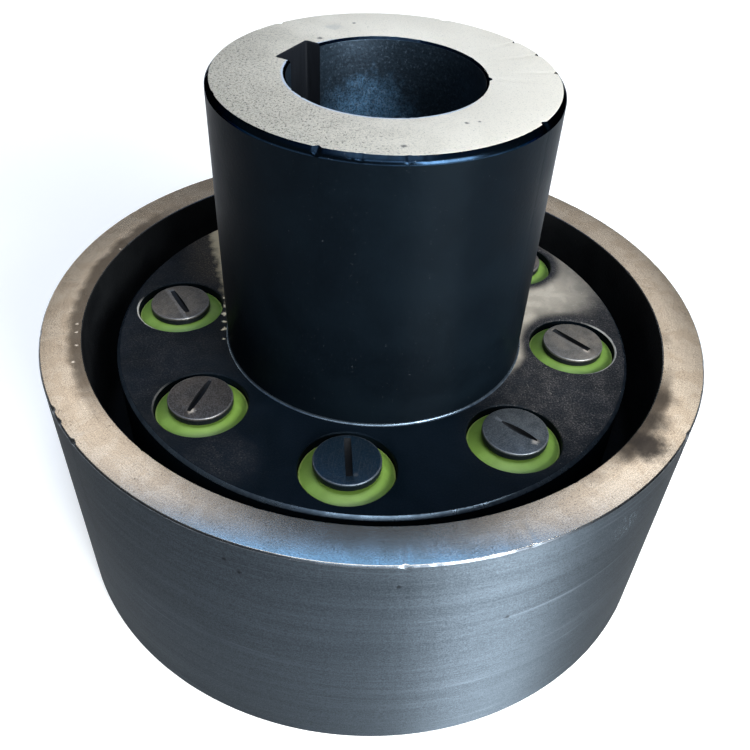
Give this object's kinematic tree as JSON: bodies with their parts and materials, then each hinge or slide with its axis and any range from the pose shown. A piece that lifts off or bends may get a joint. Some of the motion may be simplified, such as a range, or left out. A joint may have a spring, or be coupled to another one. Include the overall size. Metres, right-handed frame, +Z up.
{
  "type": "pin and bush coupling with brake drum",
  "caption": "Flexible shaft coupling: a long keyed hub half and a brake drum half, joined by a ring of slotted taper pins that sit in elastic bushes.",
  "frame": {"origin": "on the shafts' axis, in the plane of the drum's lower edge, which the part rests on", "axes": "+Z up along the shafts from the drum half to the end of the hub half; +Y away from the picture's viewer"},
  "size_m": [0.315, 0.315, 0.245],
  "materials": {
    "drum_steel": "turned, bare, fine circular tool marks, light handling stains",
    "hub_paint": "satin black paint, dusty on the flange, bare turned hub end",
    "pin_steel": "dull oiled steel with a saw-cut slot",
    "bush_elastic": "satin yellow-green cast elastomer",
    "collar_steel": "turned",
    "washer_steel": "dark spring steel",
    "nut_steel": "plain"
  },
  "bodies": {
    "root": {"brake_drum_half": "drum_steel", "hub_half": "hub_paint", "pin_1": "pin_steel", "pin_2": "pin_steel", "pin_3": "pin_steel", "pin_4": "pin_steel", "pin_5": "pin_steel", "pin_6": "pin_steel", "pin_7": "pin_steel", "pin_8": "pin_steel", "elastic_bush_1": "bush_elastic", "elastic_bush_2": "bush_elastic", "elastic_bush_3": "bush_elastic", "elastic_bush_4": "bush_elastic", "elastic_bush_5": "bush_elastic", "elastic_bush_6": "bush_elastic", "elastic_bush_7": "bush_elastic", "elastic_bush_8": "bush_elastic", "bush_collar_1": "collar_steel", "bush_collar_2": "collar_steel", "bush_collar_3": "collar_steel", "bush_collar_4": "collar_steel", "bush_collar_5": "collar_steel", "bush_collar_6": "collar_steel", "bush_collar_7": "collar_steel", "bush_collar_8": "collar_steel", "spring_washer_1": "washer_steel", "spring_washer_2": "washer_steel", "spring_washer_3": "washer_steel", "spring_washer_4": "washer_steel", "spring_washer_5": "washer_steel", "spring_washer_6": "washer_steel", "spring_washer_7": "washer_steel", "spring_washer_8": "washer_steel", "pin_nut_1": "nut_steel", "pin_nut_2": "nut_steel", "pin_nut_3": "nut_steel", "pin_nut_4": "nut_steel", "pin_nut_5": "nut_steel", "pin_nut_6": "nut_steel", "pin_nut_7": "nut_steel", "pin_nut_8": "nut_steel"}
  },
  "joints": []
}
